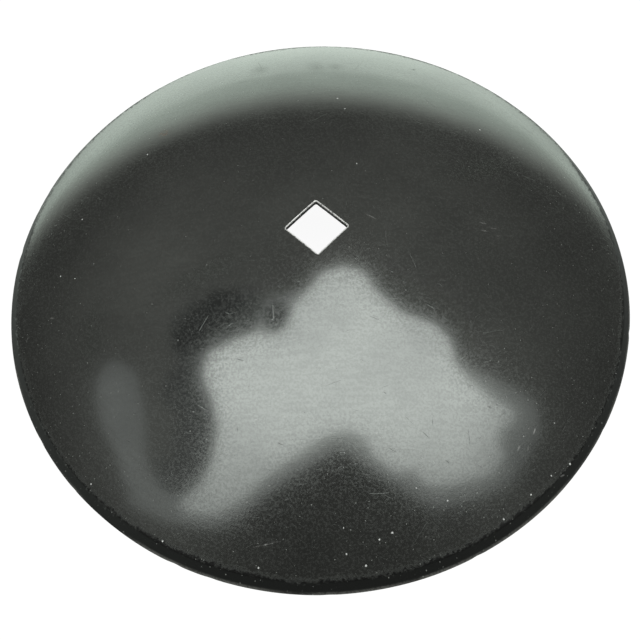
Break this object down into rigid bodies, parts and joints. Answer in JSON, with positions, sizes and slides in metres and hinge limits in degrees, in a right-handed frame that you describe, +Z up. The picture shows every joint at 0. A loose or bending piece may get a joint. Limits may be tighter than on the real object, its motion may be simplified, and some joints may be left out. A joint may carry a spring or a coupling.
{
  "type": "harrow disc blade",
  "caption": "Plain dished harrow disc blade with a ground bevel edge and a square shaft hole, lying on its rim, hollow side down.",
  "frame": {"origin": "centre of the rim circle, on the surface the rim stands on", "axes": "+Z up along the shaft axis, from the rim to the crown; +X and +Y square to the flats of the shaft hole"},
  "size_m": [0.61, 0.61, 0.0976],
  "materials": {
    "blade_steel": "semi-gloss black lacquer over hot-pressed steel, scratched and dusty, with bare steel round the lip of the hole"
  },
  "bodies": {
    "root": {"disc_blade": "blade_steel"}
  },
  "joints": []
}
